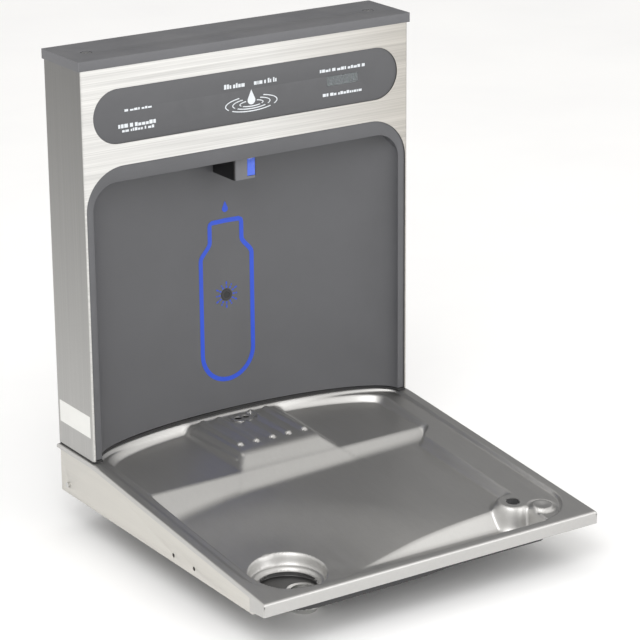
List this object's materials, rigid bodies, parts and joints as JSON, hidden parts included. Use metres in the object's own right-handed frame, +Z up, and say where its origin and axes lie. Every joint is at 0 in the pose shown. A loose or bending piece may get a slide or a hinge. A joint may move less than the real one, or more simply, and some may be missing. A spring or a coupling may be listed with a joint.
{
  "type": "drinking fountain",
  "caption": "Wall-hung bottle-filling fountain: stainless tower with a curved alcove and sensor filler over a sloping stamped basin with drain and bubbler boss.",
  "frame": {"origin": "centre of the bounding box at its lowest level, which is the open end of the drain spigot", "axes": "+Z up, -Y out of the wall towards the user, +X to the user's right"},
  "size_m": [0.467, 0.474, 0.6025],
  "materials": {
    "stainless": "brushed, fine grain",
    "skirt_steel": "brushed, matt",
    "bright_steel": "bright stamped",
    "galvanised": "zinc coated sheet",
    "fastener": "plated",
    "dark_plastic": "fine moulded texture",
    "black_plastic": "moulded",
    "grey_plastic": "moulded",
    "white_plastic": "moulded",
    "gasket": "soft black",
    "pale_print": "printed",
    "blue_print": "printed film",
    "blue_lens": "moulded light lens",
    "dark_lens": "infrared window",
    "window": "tinted window",
    "circuit_board": "solder mask",
    "brass": "machined",
    "water_tube": "drawn tube",
    "painted_case": "powder coat",
    "cable": "insulated leads",
    "label_stock": "blank label"
  },
  "bodies": {
    "fountain": {"tower_shell": "stainless", "back_plate": "galvanised", "top_cap": "dark_plastic", "cap_screws": "fastener", "alcove_liner": "dark_plastic", "liner_clips": "galvanised", "base_gasket": "gasket", "control_bezel": "dark_plastic", "bezel_nuts": "fastener", "panel_icons": "pale_print", "display_window": "window", "display_board": "circuit_board", "display_digits": "pale_print", "nozzle_hood": "dark_plastic", "hood_lens": "blue_lens", "light_board": "circuit_board", "fill_nozzle": "brass", "nozzle_gasket": "gasket", "nozzle_nut": "brass", "aerator": "grey_plastic", "sensor_body": "black_plastic", "sensor_lens": "dark_lens", "sensor_nut": "fastener", "bottle_graphic": "blue_print", "valve_body": "white_plastic", "valve_coil": "black_plastic", "valve_guide_tube": "fastener", "valve_spring": "fastener", "valve_bracket": "galvanised", "flow_regulator": "white_plastic", "inlet_union": "white_plastic", "union_nut": "grey_plastic", "inlet_tube": "water_tube", "link_tube": "water_tube", "outlet_tube": "water_tube", "control_box": "grey_plastic", "control_lid": "grey_plastic", "control_board": "circuit_board", "power_supply": "painted_case", "wiring_harness": "cable", "basin": "stainless", "left_skirt": "skirt_steel", "right_skirt": "skirt_steel", "rear_rail": "galvanised", "skirt_screws": "fastener", "tower_studs": "fastener", "tower_nuts": "fastener", "bottle_strainer": "bright_steel", "strainer_nut": "brass", "drain_cup": "bright_steel", "drain_gasket": "gasket", "drain_spigot": "bright_steel", "drain_nut": "white_plastic", "data_label": "label_stock"},
    "plunger": {"valve_plunger": "fastener"},
    "valve_release": {"valve_collet": "grey_plastic"},
    "inlet_release": {"inlet_collet": "grey_plastic"},
    "flow_screw": {"regulator_screw": "brass"}
  },
  "joints": [
    {"name": "plunger_lift", "type": "slide", "parent": "fountain", "child": "plunger", "axis": [0, 0, 1], "range_m": [0, 0.0024], "stiffness_N_per_m": 200, "springref_m": -0.002, "deforming": ["valve_spring"]},
    {"name": "valve_collet_press", "type": "slide", "parent": "fountain", "child": "valve_release", "axis": [-1, 0, 0], "range_m": [0, 0.0013]},
    {"name": "inlet_collet_press", "type": "slide", "parent": "fountain", "child": "inlet_release", "axis": [0, 0, 1], "range_m": [0, 0.0013]},
    {"name": "flow_adjust", "type": "hinge", "parent": "fountain", "child": "flow_screw", "pos_m": [0.036, 0.179, 0.49], "axis": [0, 0, 1], "range_deg": [-180, 180]}
  ]
}
